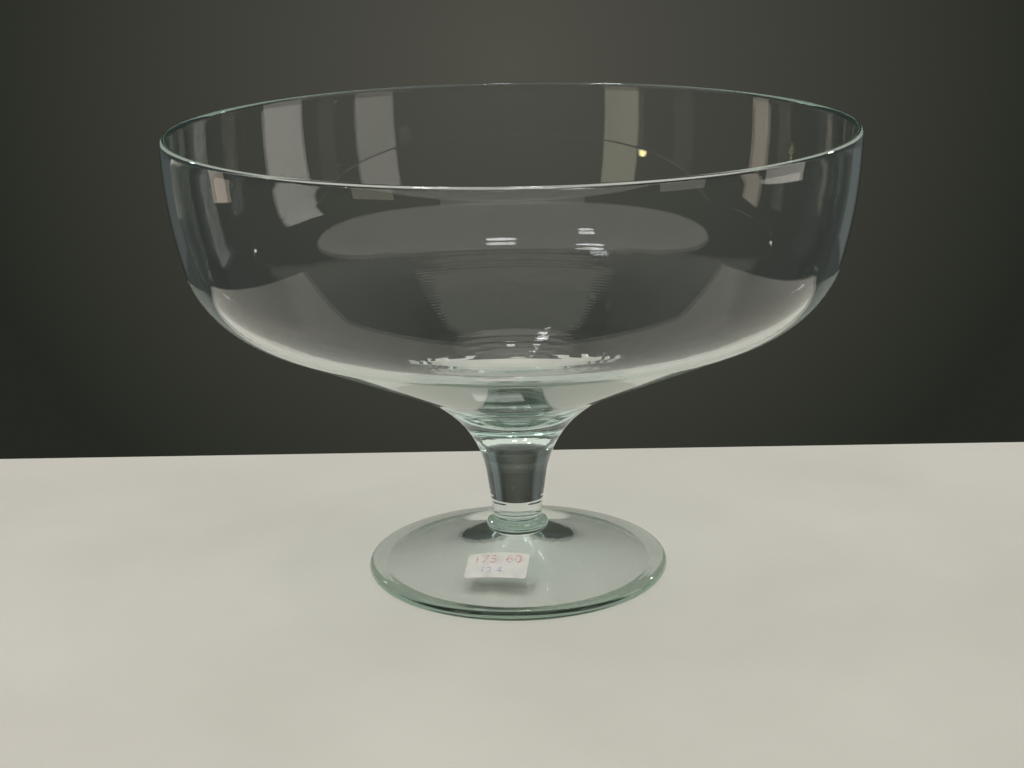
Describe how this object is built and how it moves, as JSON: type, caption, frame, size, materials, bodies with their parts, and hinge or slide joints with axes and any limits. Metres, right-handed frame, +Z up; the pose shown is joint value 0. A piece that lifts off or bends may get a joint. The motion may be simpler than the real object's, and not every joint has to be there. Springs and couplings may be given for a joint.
{
  "type": "footed trifle bowl",
  "caption": "Wide clear glass serving bowl with a rounded lower corner, on a short solid stem and a round foot with a small paper label.",
  "frame": {"origin": "middle of the foot's underside, at the height of the table that it stands on", "axes": "+Z up along the bowl's axis; -Y is the front, which the label faces; +X is to the right seen from the front"},
  "size_m": [0.24, 0.24, 0.162],
  "materials": {
    "bowl_glass": "fire-polished clear soda-lime glass with a faint aqua tint",
    "stem_glass": "fire-polished clear soda-lime glass with a faint aqua tint",
    "foot_glass": "fire-polished clear soda-lime glass with a faint aqua tint",
    "label_paper": "matt white paper with faint stamped marks"
  },
  "bodies": {
    "root": {"bowl": "bowl_glass", "stem": "stem_glass", "foot": "foot_glass", "price_label": "label_paper"}
  },
  "joints": []
}
